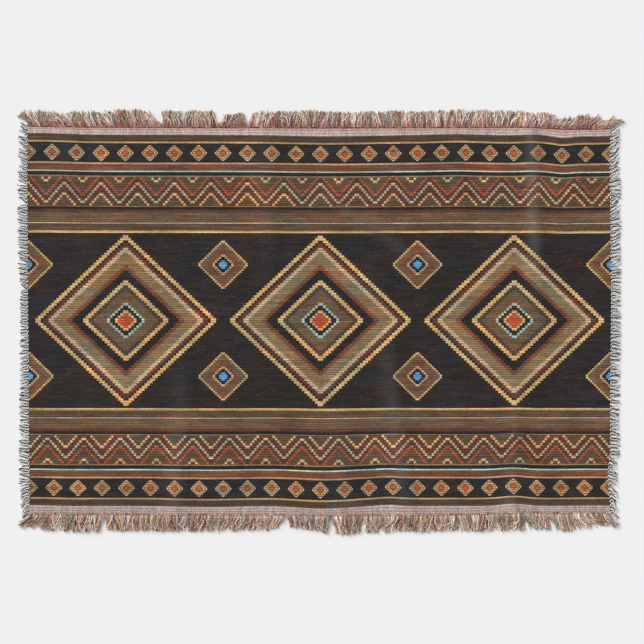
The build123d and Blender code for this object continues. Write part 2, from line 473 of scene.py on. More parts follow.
def colour_steps(place, steps):
    """Picks one yarn for each stretch of a place from 0 to 1, as a weaver's draft does."""
    node = add_node(place.tree, "ValToRGB", place)
    ramp = node.color_ramp
    ramp.interpolation = "CONSTANT"
    ramp.elements.remove(ramp.elements[-1])
    for start, yarn in steps:
        element = ramp.elements[0] if start == 0 else ramp.elements.new(start)
        element.position = start
        element.color = dye(yarn)
    return Reading(node.outputs[0])


print("node helpers ready")

# %% [markdown]
# ## Shader groups
# The weave is used by three finishes and the design by two, so each is built once as a group. One
# helper starts a group and names what goes in and out, and the other puts a group to use.


# %% Helpers for groups
def new_group(name, inputs, outputs):
    """An empty shader group, the readings of its inputs by name, and the sockets of its outputs."""
    tree = bpy.data.node_groups.new(name, "ShaderNodeTree")
    for socket_name, kind, value in inputs:
        socket = tree.interface.new_socket(socket_name, in_out="INPUT", socket_type=kind)
        if value is not None:
            socket.default_value = value
    for socket_name, kind in outputs:
        tree.interface.new_socket(socket_name, in_out="OUTPUT", socket_type=kind)
    given = tree.nodes.new("NodeGroupInput").outputs
    readings = {socket_name: Reading(given[socket_name]) for socket_name, _, _ in inputs}
    return tree, readings, tree.nodes.new("NodeGroupOutput").inputs


def use_group(tree, group, **values):
    """One node of a group, with its inputs set or linked by name: the readings of its outputs."""
    node = add_node(tree, "Group", node_tree=group)
    for name, value in values.items():
        set_input(node.inputs[name], value)
    return {socket.name: Reading(socket) for socket in node.outputs}


FLOAT, COLOUR, VECTOR = "NodeSocketFloat", "NodeSocketColor", "NodeSocketVector"
print("group helpers ready")

# %% [markdown]
# ## The weave
# In this cloth every pick of weft floats over a few warp ends and dips under the next, and each
# row is set off by half a float. Four picks lie side by side on each rib of the field. The group
# works out the row and float that a point lies in. It gives a height for the bump, a shade that
# changes at random from float to float and along each rib and holds painted shade where a float
# dips and in the groove between two ribs, the crest of the rib, a mask for the specks where the
# coloured warp shows through, and a number for each float.

# %% Build the weave group
PICKS_IN_RIB = 4
PICK = FIELD_DEPTH / FIELD_RIBS / PICKS_IN_RIB * MM
FIELD_FLOAT = 0.0046
STRETCH = 0.034
STRETCH_SHIFT = 0.37
SPECK_ABOVE = 0.95
ROUND_ACROSS = 0.6
ROUND_ALONG = 0.35

# The darkest and the palest shade that each of these gives: the thread and the stretch vary the
# tone at random, and the form of a float and the rib paint shade into the dips and the grooves
THREAD_SHADES = (0.8, 1.32)
DIP_PAINTED_SHADES = (0.78, 1.12)
GROOVE_PAINTED_SHADES = (0.56, 1.24)
STRETCH_SHADES = (0.84, 1.16)

weave, given, result = new_group(
    "Weave",
    [("Cloth", VECTOR, None), ("Float", FLOAT, FIELD_FLOAT), ("Pick", FLOAT, PICK)],
    [("Height", FLOAT), ("Shade", FLOAT), ("Crest", FLOAT), ("Speck", FLOAT), ("Thread", FLOAT)],
)
x, y, _ = parts_of(given["Cloth"])
pick_place = y / given["Pick"]
pick_number = pick_place.whole()
float_place = x / given["Float"] + pick_number % 2.0 * 0.5
float_number = float_place.whole()
round_across = (pick_place.to_and_fro(0.5) * 2.0) ** ROUND_ACROSS
round_along = (float_place.to_and_fro(0.5) * 2.0) ** ROUND_ALONG
float_height = round_across * round_along
rib_height = abs((pick_place * (math.pi / PICKS_IN_RIB)).maths("SINE"))
rib_number = (pick_place / PICKS_IN_RIB).whole()
stretch_number = (x / STRETCH + rib_number * STRETCH_SHIFT).whole()
thread = chance(point(float_number, pick_number))
stretch = chance(point(stretch_number, rib_number, 11.0))

# Painted shade: darker where a float dips under and in the groove between two ribs
painted_dip_shade = stretched(float_height, *DIP_PAINTED_SHADES) * stretched(rib_height, *GROOVE_PAINTED_SHADES)
shade = stretched(thread, *THREAD_SHADES) * painted_dip_shade * stretched(stretch, *STRETCH_SHADES)
set_input(result["Height"], float_height)
set_input(result["Shade"], shade)
set_input(result["Crest"], rib_height * stretch)
set_input(result["Speck"], chance(point(float_number, pick_number, 7.0)) > SPECK_ABOVE)
set_input(result["Thread"], thread)
print("weave group:", len(weave.nodes), "nodes")

# %% [markdown]
# ## The woven design
# The middle of the cloth carries three stepped medallions on charcoal, between bands of stripes,
# zigzags and small lozenges, in the dark wood browns, ochres and rusts of the yarns above. Such
# geometric motifs are common to many flat weaves. A loom draws a slope as stairs, so each motif is
# counted in steps from its middle, and its draft is a list of yarns by the number of the step.

# %% Drafts of the design
# Spacings, places and sizes of steps, in metres
MEDALLION_EVERY = FIELD_LENGTH / 3 * MM
SMALL_EVERY = FIELD_LENGTH / 24 * MM
ZIGZAG_EVERY = FIELD_LENGTH / 16 * MM
CORNER_UP = 0.126
SMALL_UP = 0.3775
MEDALLION_STEP = (0.00598, 0.00565)
CORNER_STEP = (0.0046, 0.0045)
SMALL_STEP = (0.0030, 0.0029)
ZIGZAG_STEP = (0.00514, 0.00585)

# (number of the first step, yarn); the last number is how many steps the motif has
MEDALLION = [
    (0, "orange red"), (3, "ochre"), (4, "charcoal"), (6, "pale teal"), (7, "weathered brown"),
    (12, "umber"), (14, "ochre"), (16, "soft black"), (20, "rust"), (22, "driftwood"),
    (27, "sand"), (29, "madder"), (31, "soft black"), (32, "ochre"), (34, None),
]
CORNER_LOZENGE = [
    (0, "sky blue"), (2, "soft black"), (4, "sand"), (5, "rust"), (8, "weathered brown"),
    (11, "ochre"), (12, None),
]
SMALL_LOZENGE = [(0, "orange red"), (2, "umber"), (3, "ochre"), (4, "rust"), (5, "sand"), (6, None)]
ZIGZAG = [
    (0, "bark"), (4, "ochre"), (5, "madder"), (8, "sand"), (9, "umber"), (11, "orange red"),
    (12, None),
]

# (share of the way from the middle of the cloth to the heading, yarn)
STRIPES = [
    (0.0, "charcoal"), (0.470, "ochre"), (0.482, "bark"), (0.520, "sand"),
    (0.527, "weathered brown"), (0.580, "madder"), (0.594, "soft black"), (0.612, "driftwood"),
    (0.780, "soft black"), (0.798, "pale teal"), (0.805, "rust"), (0.842, "sand"),
    (0.850, "charcoal"), (0.955, "ochre"), (0.964, "umber"),
]
ZIGZAG_BAND = (0.618, 0.774)

# (how bright the front is, yarn that the reverse shows there), and how much of the front stays
REVERSE_YARNS = [
    (0.0, "sand"), (0.2, "driftwood"), (0.3, "weathered brown"), (0.45, "umber"), (0.6, "charcoal"),
]
FRONT_STAYS = 0.25

# What an uneven dye lot multiplies a colour by
WHITE = (1.0, 1.0, 1.0, 1.0)
WARM_CAST = (1.28, 0.92, 0.74, 1.0)
COOL_CAST = (0.8, 1.0, 1.12, 1.0)

# What shows through black where its dye is thin
WARM_BLACK = (0.010, 0.003, 0.002, 1.0)
COOL_BLACK = (0.0, 0.003, 0.010, 1.0)
print("steps:", [draft[-1][0] for draft in (MEDALLION, CORNER_LOZENGE, SMALL_LOZENGE, ZIGZAG)])

# %% [markdown]
# ## From drafts to cloth
# Every band is drawn once for the whole width and mirrored about the middle of the cloth. A step's
# number is the sum of the steps across and the steps up, so that equal numbers make a lozenge. The
# dye is uneven along the weft, as it is where a new hank of yarn is joined in, so long low streaks
# make each colour a little lighter or darker, and wide clouds make it warmer or cooler. On the
# reverse of a two-sided weave light and dark yarns change places.

# %% Build the design group
STREAKS_ALONG = 5.0
STREAKS_ACROSS = 150.0
CLOUD_FLATNESS = 2.2

# The range of a noise that counts, and the darkest and palest shade that streaks and patches give
NOISE_RANGE = (0.3, 0.7)
CLOUD_RANGE = (0.47, 0.66)
STREAK_SHADES = (0.72, 1.28)
PATCH_SHADES = (0.84, 1.16)


def steps_from_middle(across, up, step):
    """The number of the step that a point lies on, counted across and up from a motif's middle."""
    return (across / step[0]).whole() + (up / step[1]).whole()


def drafted(number, draft):
    """The yarn of each step in a draft."""
    *starts, (steps, _) = draft
    return colour_steps((number + 0.5) / steps, [(start / steps, yarn) for start, yarn in starts])


def with_lozenge(colour, across, up, step, draft):
    """The cloth's colour with one kind of lozenge woven over it."""
    number = steps_from_middle(across, up, step)
    return mixed(number < draft[-1][0] - 0.5, colour, drafted(number, draft))


def clouds(place_x, place_y, seed):
    """Where one of the wide clouds in the dye lies, from 0 to 1."""
    place = point(place_x, place_y * CLOUD_FLATNESS, seed)
    return stretched(streaks(place, scale=9.0, detail=5.0, roughness=0.7), 0.0, 1.0, *CLOUD_RANGE)


design, given, result = new_group(
    "Woven design", [("Cloth", VECTOR, None), ("Reverse", FLOAT, 0.0)], [("Colour", COLOUR)]
)
x, y, _ = parts_of(given["Cloth"])
up = abs(y)
height_share = up / (HEADING_AT * MM)
shifted = x + 3 * MEDALLION_EVERY
across = shifted.to_and_fro(MEDALLION_EVERY / 2)
to_corner = abs(across - MEDALLION_EVERY / 2)
in_small = shifted.to_and_fro(SMALL_EVERY / 2)
colour = colour_steps(height_share, STRIPES)
colour = with_lozenge(colour, across, up, MEDALLION_STEP, MEDALLION)
colour = with_lozenge(colour, to_corner, abs(up - CORNER_UP), CORNER_STEP, CORNER_LOZENGE)
colour = with_lozenge(colour, in_small, abs(up - SMALL_UP), SMALL_STEP, SMALL_LOZENGE)

in_zigzag = shifted.to_and_fro(ZIGZAG_EVERY / 2)
number = steps_from_middle(in_zigzag, up - ZIGZAG_BAND[0] * HEADING_AT * MM, ZIGZAG_STEP)
in_band = (height_share > ZIGZAG_BAND[0]) * (height_share < ZIGZAG_BAND[1])
colour = mixed(in_band, colour, drafted(number % ZIGZAG[-1][0], ZIGZAG))

drawn_out = point(x * STREAKS_ALONG, y * STREAKS_ACROSS)
long_streaks = streaks(drawn_out, scale=1.0, detail=4.0, roughness=0.62)
patches = streaks(point(x, y), scale=9.0, detail=3.0, roughness=0.6)
uneven = stretched(long_streaks, *STREAK_SHADES, *NOISE_RANGE)
colour = shaded(colour, uneven * stretched(patches, *PATCH_SHADES, *NOISE_RANGE))
warm, cool = clouds(x, y, 3.0), clouds(x, y, 8.0)
colour = mixed(1.0, colour, mixed(cool, mixed(warm, WHITE, WARM_CAST), COOL_CAST), "MULTIPLY")
colour = mixed(warm, colour, WARM_BLACK, "ADD")
colour = mixed(cool, colour, COOL_BLACK, "ADD")

brightness = Reading(add_node(design, "RGBToBW", colour).outputs[0])
turned = mixed(FRONT_STAYS, colour_steps(brightness**0.5, REVERSE_YARNS), colour)
set_input(result["Colour"], mixed(given["Reverse"], colour, turned))
print("design group:", len(design.nodes), "nodes")

# %% [markdown]
# ## What the finishes share
# Everything here is dull cotton: a Principled shader with a colour, a bump in metres that gives the
# yarns their height, and a little sheen for the fuzz that cotton has. These helpers make such a
# finish, and read the point's place in the flat cloth or what an attribute holds there.


# %% Helpers for finishes
def new_material(name, roughness=0.92, sheen=0.12, specular=0.25):
    """A material with a dull cotton Principled shader: it, its tree and that shader's inputs."""
    material = bpy.data.materials.new(name)
    material.use_nodes = True
    inputs = material.node_tree.nodes["Principled BSDF"].inputs
    inputs["Roughness"].default_value = roughness
    inputs["Specular IOR Level"].default_value = specular
    inputs["Sheen Weight"].default_value = sheen
    inputs["Sheen Roughness"].default_value = 0.5
    return material, material.node_tree, inputs


def dress(inputs, colour, height, distance):
    """Gives a shader its colour, and a bump from a height and what a height of 1 stands for."""
    bump = add_node(colour.tree, "Bump")
    bump.inputs["Strength"].default_value = 1.0
    bump.inputs["Distance"].default_value = distance
    set_input(bump.inputs["Height"], height)
    set_input(inputs["Base Color"], colour)
    set_input(inputs["Normal"], Reading(bump.outputs["Normal"]))


def flat_place(tree):
    """The point's place in the flat cloth, in metres."""
    return Reading(add_node(tree, "UVMap", uv_map="flat_cloth").outputs[0])


def carried(tree, name, output):
    """What an attribute holds at the point, as the number "Fac" or as the colour "Color"."""
    return Reading(add_node(tree, "Attribute", attribute_name=name).outputs[output])


print("finish helpers ready")

# %% [markdown]
# ## The field's finish
# The field's colour is the design times the weave's shade, which changes at random from float to
# float and holds painted shade where the floats dip and in the grooves between ribs, with a speck
# of coloured warp here and there. A pale highlight is painted along the folds and on the crests of
# the ribs. Both faces come from one function, and the reverse shows the design turned over.

# %% Make the field's finishes
WARP_TINTS = [(0.0, "madder"), (0.2, "olive"), (0.4, "violet blue"), (0.6, "wine"), (0.8, "rose")]
SPECK_STRENGTH = 0.1
FOLD_HIGHLIGHT = 0.085
CREST_HIGHLIGHT = 0.016
THREAD_RELIEF = 0.0005


def field_cloth(name, reverse):
    """The finish of one face of the field."""
    material, tree, inputs = new_material(name, roughness=0.75, sheen=0.08, specular=0.22)
    place = flat_place(tree)
    threads = use_group(tree, weave, Cloth=place)
    colour = use_group(tree, design, Cloth=place, Reverse=reverse)["Colour"]
    tint = colour_steps((threads["Thread"] * 17.0).maths("FRACT"), WARP_TINTS)
    # The weave's shade is random tone and painted shade in the dips and grooves
    colour = shaded(mixed(threads["Speck"] * SPECK_STRENGTH, colour, tint), threads["Shade"])
    # A pale painted highlight along the folds and on the crests of the ribs
    painted_highlight = carried(tree, "fold_highlight", "Fac") * FOLD_HIGHLIGHT + threads["Crest"] * CREST_HIGHLIGHT
    dress(inputs, mixed(painted_highlight, colour, dye("painted highlight")), threads["Height"], THREAD_RELIEF)
    return material


for reverse, name in enumerate(("Field cloth", "Field cloth, reverse")):
    cloth.data.materials.append(field_cloth(name, float(reverse)))
print("field finishes:", len(cloth.data.materials))

# %% [markdown]
# ## The headings' finish
# The headings are plain: a pale weft over the coloured warp, which tints it in thin upright lines
# and reddens it beside the stitches, with painted shade in the grooves between the ribs. Then each
# face of the cloth takes the finish of its own part, which its place in the flat cloth and the way
# that it faces tell.

# %% Make the headings' finish and dress the cloth
BAND_TINTS = [
    (0.0, "wine"), (0.4, "rose"), (0.47, "cream"), (0.53, "grey teal"), (0.58, "violet blue"),
]
HEADING_FLOAT = 0.0022
HEADING_PICK = 0.0016
HEADING_THREADS = (0.72, 1.4)

# Where a rib rises from its groove, which is painted darker as shade, as shares of a rib, how much
# of each tint shows, and how far into a heading it reddens, in metres
GROOVE = (0.04, 0.3)
THREAD_TINT = 0.2
BAND_TINT = 0.16
BANDS_IN_METRE = 30.0
REDDENING = (0.0105, 0.0175)

# What the bottom and the top heading take: their shade, and how red they get by the stitches
BOTTOM_TO_TOP = (-0.01, 0.01)
HEADING_SHADES = (0.9, 1.08)
REDDEST = (0.25, 0.55)


def heading_cloth():
    """The finish of both headings."""
    material, tree, inputs = new_material("Ribbed heading cloth")
    place = flat_place(tree)
    x, y, _ = parts_of(place)
    into = abs(y) - HEADING_AT * MM
    on_rib = stretched((into / (RIB_PITCH * MM)).to_and_fro(0.5), 0.0, 1.0, *GROOVE)
    # Painted shade: the groove between two ribs takes a darker colour
    colour = mixed(on_rib, dye("painted groove shade"), dye("ecru"))
    draw = chance(point((x / HEADING_FLOAT).whole(), 3.0))
    colour = mixed(THREAD_TINT, colour, colour_steps(draw, WARP_TINTS))
    bands = streaks(point(x * BANDS_IN_METRE), scale=1.0, detail=5.0, roughness=0.75)
    colour = mixed(BAND_TINT, colour, colour_steps(bands, BAND_TINTS))
    colour = shaded(colour, stretched(y, *HEADING_SHADES, *BOTTOM_TO_TOP))
    reddest = stretched(y, *REDDEST, *BOTTOM_TO_TOP)
    colour = mixed(stretched(into, 0.0, 1.0, *REDDENING) * reddest, colour, dye("dusty red"))
    threads = use_group(tree, weave, Cloth=place, Float=HEADING_FLOAT, Pick=HEADING_PICK)
    colour = shaded(colour, stretched(threads["Thread"], *HEADING_THREADS))
    dress(inputs, colour, threads["Height"], THREAD_RELIEF)
    return material


cloth.data.materials.append(heading_cloth())

faces = cloth.data.polygons
underneath = gathered(faces, "normal", 3)[:, 2] < 0
first_corner = gathered(faces, "loop_start", kind=np.int32)
up_cloth = gathered(cloth.data.uv_layers[0].data, "uv", 2)[:, 1]
face_middle = (up_cloth[first_corner] + up_cloth[first_corner + 2]) / 2
finish_number = np.where(np.abs(face_middle) > HEADING_AT * MM, 2, underneath).astype(np.int32)
faces.foreach_set("material_index", finish_number)
cloth.data.update()
print("faces of field, reverse, headings:", np.bincount(finish_number).tolist())

# %% [markdown]
# ## A straight length of yarn
# Fringe ends are cut yarn: two strands twisted round each other. One strand is a small circle,
# swept along a helix by the Screw modifier. The circle stands upright across the yarn's axis, and
# the finished strand is copied half a turn round for the second one. The open ends are closed, so
# that a cut end shows. A single thicker strand on a slight helix makes the crimped ends that have
# come untwisted. Each yarn is modelled straight, and only its copies are bent.


# %% Twist the yarns
def straight_yarn(name, length, strand_radius, twist_radius, strands, turns, steps, sides):
    """A yarn along +Y from the origin, in mm: its mesh, modelled once for all of its copies."""
    select_only()
    bpy.ops.mesh.primitive_circle_add(
        vertices=sides,
        radius=strand_radius * MM,
        location=(0, 0, 0),
        rotation=(math.radians(90), 0, 0),
    )
    yarn = bpy.context.object
    yarn.name = name
    bpy.ops.object.transform_apply(location=False, rotation=True, scale=False)
    bpy.ops.object.mode_set(mode="EDIT")
    bpy.ops.transform.translate(value=(twist_radius * MM, 0, 0))
    bpy.ops.object.mode_set(mode="OBJECT")
    bpy.ops.object.modifier_add(type="SCREW")
    screw = yarn.modifiers[-1]
    screw.axis = "Y"
    screw.angle = math.radians(360)
    screw.iterations = turns
    screw.steps = steps
    screw.render_steps = steps
    screw.screw_offset = length / turns * MM
    bpy.ops.object.modifier_apply(modifier=screw.name)
    bpy.ops.object.mode_set(mode="EDIT")
    bpy.ops.mesh.select_all(action="SELECT")
    bpy.ops.mesh.fill_holes(sides=0)
    bpy.ops.mesh.select_all(action="SELECT")
    for number in range(1, strands):
        bpy.ops.mesh.duplicate()
        bpy.ops.transform.rotate(
            value=math.radians(360 / strands), orient_axis="Y", center_override=(0, 0, 0)
        )
    bpy.ops.mesh.select_all(action="SELECT")
    bpy.ops.mesh.normals_make_consistent(inside=False)
    bpy.ops.object.mode_set(mode="OBJECT")
    size = [round(value / MM, 2) for value in yarn.dimensions]
    print(name, "faces:", len(yarn.data.polygons), "size mm:", size)
    return yarn


TWISTED_END = straight_yarn("twisted_end", 1000.0, 0.58, 0.56, 2, 4, 4, 4)
LOOSE_END = straight_yarn("loose_end", 1000.0, 0.76, 0.24, 1, 4, 4, 4)
WEFT_END = straight_yarn("weft_end", 1000.0, 0.66, 0.6, 2, 3, 4, 4)
EDGE_CORD = straight_yarn("edge_cord", 2 * WARP_ROOT_AT, 0.85, 0.72, 2, 92, 8, 6)

# %% [markdown]
# ## The fringe, clump by clump
# A fringe that has been handled hangs together in clumps, and each clump leans its own way, with a
# notch where two neighbours part. The table gives each clump its share of the edge, the lean of its
# first and last end, and their lengths. The shares are the solids' own, so each clump covers its
# solid, and some leans and lengths are drawn closer to the photograph than a stiff tuft can be.

# %% Clumps of the fringe
# Along +X or +Y: (share of the edge, first and last lean in degrees, first and last length in mm);
# a lean towards +X or +Y is positive
CLUMPS = {
    "top": [
        (82, -58, -32, 42, 39),
        (52, -30, -36, 42.5, 42),
        (55, -13, -2, 41, 39.5),
        (30, 30, -8, 31.5, 37),
        (63, 9, 4, 40, 39.5),
        (44, 5, -14, 41.5, 36.5),
        (80, -8, 8, 39.5, 39.5),
        (47, 8, 2, 40.5, 40.5),
        (69, 4, 34, 40.5, 37.5),
        (62, 39, 78, 27, 48),
    ],
    "bottom": [
        (75, -66, -9, 44, 42.5),
        (57, 5, -14, 40.5, 38.5),
        (55, -16, -18, 39.5, 40),
        (69, -17, -16, 39, 36),
        (46, 30, -8, 28, 45),
        (33, 12, -8, 44.5, 46.5),
        (37, 0, 2, 45, 38.5),
        (80, 0, 4, 39.5, 39.5),
        (106, 4, 36, 40.5, 43),
        (26, 38, 50, 34, 43),
    ],
    "left": [
        (16, -56, 26, 24, 26.5),
        (22, 16, -14, 25, 21),
        (20, -10, 12, 21, 19.5),
        (22, 18, 2, 21.5, 26.5),
        (20, 16, 44, 24, 24),
    ],
    "right": [
        (22, -60, -14, 26.5, 21.5),
        (20, -10, 4, 21, 21),
        (20, -2, 8, 22, 22),
        (20, 4, 28, 22, 24),
        (18, 14, 56, 24, 25.5),
    ],
}

# For each side: outwards from the cloth, and along the edge, a quarter turn clockwise of outwards
SIDES = {
    "top": ((0, 1), (1, 0)),
    "bottom": ((0, -1), (-1, 0)),
    "left": ((-1, 0), (0, 1)),
    "right": ((1, 0), (0, -1)),
}
print("clumps:", {side: len(clumps) for side, clumps in CLUMPS.items()})

# %% [markdown]
# ## Bending the ends
# An end leaves the cloth square to its edge, turns into the lean of its clump within a few
# millimetres, and wavers, because the weave has crimped it. Its path is summed up from short steps
# of equal length, so a bent end stays as long as it was cut. Then each point of the straight yarn
# is carried to the same share of the path, with its offset across and above it.

# %% Bend copies of a yarn
PATH_STEPS = 24
WAVES_IN_END = (1.2, 3.8)

# Shares of an end: where its turn is done, where its kink starts, how long the kink is, where the
# end has come down from a fold, and how far the tint of its root reaches
TURNING_SHARE = 0.4
KINK_FROM = 0.3
KINK_SHARE = 0.3
DOWN_AT = 0.9
TINT_SHARE = 0.45

# Heights of an end above the floor in mm, and the share of its rest that it loses by its tip
ROOT_HEIGHT = 1.5
REST_HEIGHT = 1.25
LOWEST = 1.35
SWELL_OF_END = 0.35
SINKING = 0.55


def end_paths(roots, sides, leans, lengths, bends, rest, dice):
    """Paths of many fringe ends, in mm: their places, and the angle that each has there."""
    outward, run = sides
    share = np.linspace(0, 1, PATH_STEPS + 1)[None, :]
    turned = smooth(share / TURNING_SHARE)
    count = len(leans)
    waves = dice.uniform(*WAVES_IN_END, (count, 1))
    start = dice.uniform(0, 2 * math.pi, (count, 1))
    wave = np.sin(2 * math.pi * waves * share + start)
    waver, kink, curl = (bend[:, None] for bend in bends)
    angle = (leans[:, None] + waver * wave) * turned
    angle = angle + kink * smooth((share - KINK_FROM) / KINK_SHARE) + curl * share**3
    step = lengths[:, None] / PATH_STEPS
    along = np.cumsum(np.sin(angle) * step, axis=1) - np.sin(angle[:, :1]) * step
    out = np.cumsum(np.cos(angle) * step, axis=1) - np.cos(angle[:, :1]) * step
    places = np.empty((count, PATH_STEPS + 1, 3))
    for axis in (0, 1):
        places[:, :, axis] = roots[:, None, axis] + along * run[axis] + out * outward[axis]
    swell = SWELL_OF_END * np.sin(2 * math.pi * waves * share + 2 * start)
    resting = REST_HEIGHT + rest[:, None] * (1 - SINKING * share) + swell * turned
    height = roots[:, None, 2] * (1 - smooth(share / DOWN_AT))
    height = height + ROOT_HEIGHT + (resting - ROOT_HEIGHT) * turned
    places[:, :, 2] = np.maximum(height, LOWEST)
    return places, angle


def copies_of(name, master, places, shades):
    """One mesh object of many copies of a part, from the place in mm and the dye of each point."""
    size = len(master.data.vertices)
    faces = []
    for first in range(0, len(places), size):
        faces.extend([[first + corner for corner in face.vertices] for face in master.data.polygons])
    mesh = bpy.data.meshes.new(name)
    mesh.from_pydata((places * MM).tolist(), [], faces)
    dyed = mesh.attributes.new("yarn_colour", "FLOAT_COLOR", "POINT")
    dyed.data.foreach_set("color", shades.astype(np.float32).ravel())
    piece = bpy.data.objects.new(name, mesh)
    bpy.context.scene.collection.objects.link(piece)
    return piece


def bent_copies(name, yarn, paths, angles, sides, sizes, colours, root_tint):
    """One mesh object of many copies of a straight yarn, each bent along its own path."""
    outward, run = sides
    straight = places_of(yarn.data)
    share = np.clip(straight[:, 1] / straight[:, 1].max(), 0, 1)
    near = np.minimum((share * PATH_STEPS).astype(int), PATH_STEPS - 1)
    part = (share * PATH_STEPS - near)[None, :, None]
    places = paths[:, near] * (1 - part) + paths[:, near + 1] * part
    angle = angles[:, near] * (1 - part[..., 0]) + angles[:, near + 1] * part[..., 0]
    across = straight[None, :, 0] * sizes[:, None]
    places[:, :, 2] += straight[None, :, 2] * sizes[:, None]
    for axis in (0, 1):
        places[:, :, axis] += (np.cos(angle) * run[axis] - np.sin(angle) * outward[axis]) * across
    tint = np.append(root_tint, 1.0)
    fade = tint + (1 - tint) * smooth(share / TINT_SHARE)[:, None]
    return copies_of(name, yarn, places.reshape(-1, 3), colours[:, None, :] * fade[None, :, :])


print("path steps:", PATH_STEPS)

# %% [markdown]
# ## Which yarn comes next
# The warp is set up from bobbins of about a dozen colours. Neighbouring ends differ, but for a
# thumb's width one or two colours lead, so the draw is weighted anew for each stretch of the edge.
# The weft fringe is plain: black and white ends take turns, as the two wefts leave the cloth, and on
# the right three in five are white.

# %% Draw the colours
WARP_PALETTE = {
    "dusty red": 10, "wine": 4, "rose": 20, "cream": 32, "taupe": 22, "olive": 10, "grey teal": 9,
    "amber": 6, "brown": 11, "slate": 6, "violet blue": 2, "red": 1, "sand": 14,
}
LEADING_WIDTH = 15.0
LEADING_STRENGTH = 0.65

# The least and the most that a yarn's colour is brightened
WARP_BRIGHTNESS = (1.0, 1.58)
WEFT_BRIGHTNESS = (0.9, 1.05)


def drawn_yarn(palette, dice, leading=1.0, count=None):
    """The numbers of yarns drawn from a palette, by their weights."""
    weights = np.array(list(palette.values()), float) * leading
    return dice.choice(len(palette), count, p=weights / weights.sum())


def warp_colours(side, along, dice):
    """A yarn colour for each end, with a leading colour or two in each stretch of the edge."""
    names = list(WARP_PALETTE)
    colours = []
    for place in along:
        stretch = max(int((place + HALF_LENGTH) // LEADING_WIDTH), 0)
        bobbins = np.random.default_rng((len(side), stretch))
        leading = bobbins.lognormal(0, LEADING_STRENGTH, len(names))
        colours.append(dye(names[drawn_yarn(WARP_PALETTE, dice, leading)]))
    colours = np.array(colours)
    colours[:, :3] *= dice.uniform(*WARP_BRIGHTNESS, (len(colours), 1))
    return colours


# 0 is a black end and 1 a white one, in the order that they leave the cloth
WEFT_TURNS = {"left": (0, 1), "right": (0, 1, 0, 1, 1)}


def white_ends(side, count):
    """1 for each white end of a clump and 0 for each black one."""
    return np.resize(WEFT_TURNS[side], count)


def weft_colours(side, count, dice):
    """A black or a white yarn colour for each end, as the two take turns."""
    colours = np.array([dye(("weft black", "weft white")[white]) for white in white_ends(side, count)])
    colours[:, :3] *= dice.uniform(*WEFT_BRIGHTNESS, (count, 1))
    return colours


print("warp colours:", len(WARP_PALETTE))

# %% [markdown]
# ## The ends of one clump
# On the warp sides a lower layer of loose ends fills a clump, twisted ends lie over it, and a few
# loose ends stray across both, while a weft clump is one layer. The layers of a clump share its
# tufts. Handling has kinked the ends half way, each tuft to its own side. Near a parting the ends
# draw away from it, the lower ones less, which opens a notch.

# %% Place the ends of a clump
# For each layer: its yarn; its spacing and its lowest and highest rest, in mm; then in degrees the
# usual waver, kink and curl, the lean of a tuft and the scatter of single ends, and the draw away
# from a parting
LAYERS = {
    "under": (LOOSE_END, 1.7, (0.0, 1.2), (14, 11, 18), (4, 7), 14),
    "over": (TWISTED_END, 2.7, (1.2, 3.2), (12, 24, 16), (10, 6), 26),
    "stray": (LOOSE_END, 4.0, (2.6, 4.4), (15, 26, 28), (11, 13), 26),
    "weft": (WEFT_END, 3.0, (0.0, 1.0), (9, 13, 24), (10, 6), 26),
}
CUT = {"top": 0.965, "bottom": 0.975, "left": 0.9, "right": 0.93}
ROOT_DEPTH = 1.2
PLACE_IN_SPACING = (0.15, 0.85)
WHITE_OVER_BLACK = 0.5
TUFT_WIDTH = 20.0
TUFT_SHIFT = 0.32
TUFT_GATHER = 4.0
FURTHEST_TUFT = 1.15
FURTHEST_END = 2.2

# A parting: its reach in mm, and how much it calms and shortens the ends beside it
PARTING_WIDTH = 11.0
CALMING = 0.8
PARTING_CUT = 0.12

# The cut of the longest ends, and how much shorter a draw makes a tuft or an end
LONGEST = 1.045
TUFT_CUT = 0.03
END_CUT = 0.09

# How much of an end's draw goes into its waver and its kink, and of its tuft's and its own into rest
WAVER_DRAW = 0.5
KINK_DRAW = 0.6
REST_DRAWS = (0.25, 0.15)


def tufts_of(start, end, dice):
    """The borders of one clump's tufts along the edge, and four draws for each tuft."""
    count = max(2, round((end - start) / TUFT_WIDTH))
    numbers = np.arange(count + 1) + dice.uniform(-TUFT_SHIFT, TUFT_SHIFT, count + 1)
    borders = start + numbers * (end - start) / count
    borders[0], borders[-1] = start, end
    return borders, dice.normal(0, 1, (4, count)).clip(-FURTHEST_TUFT, FURTHEST_TUFT)


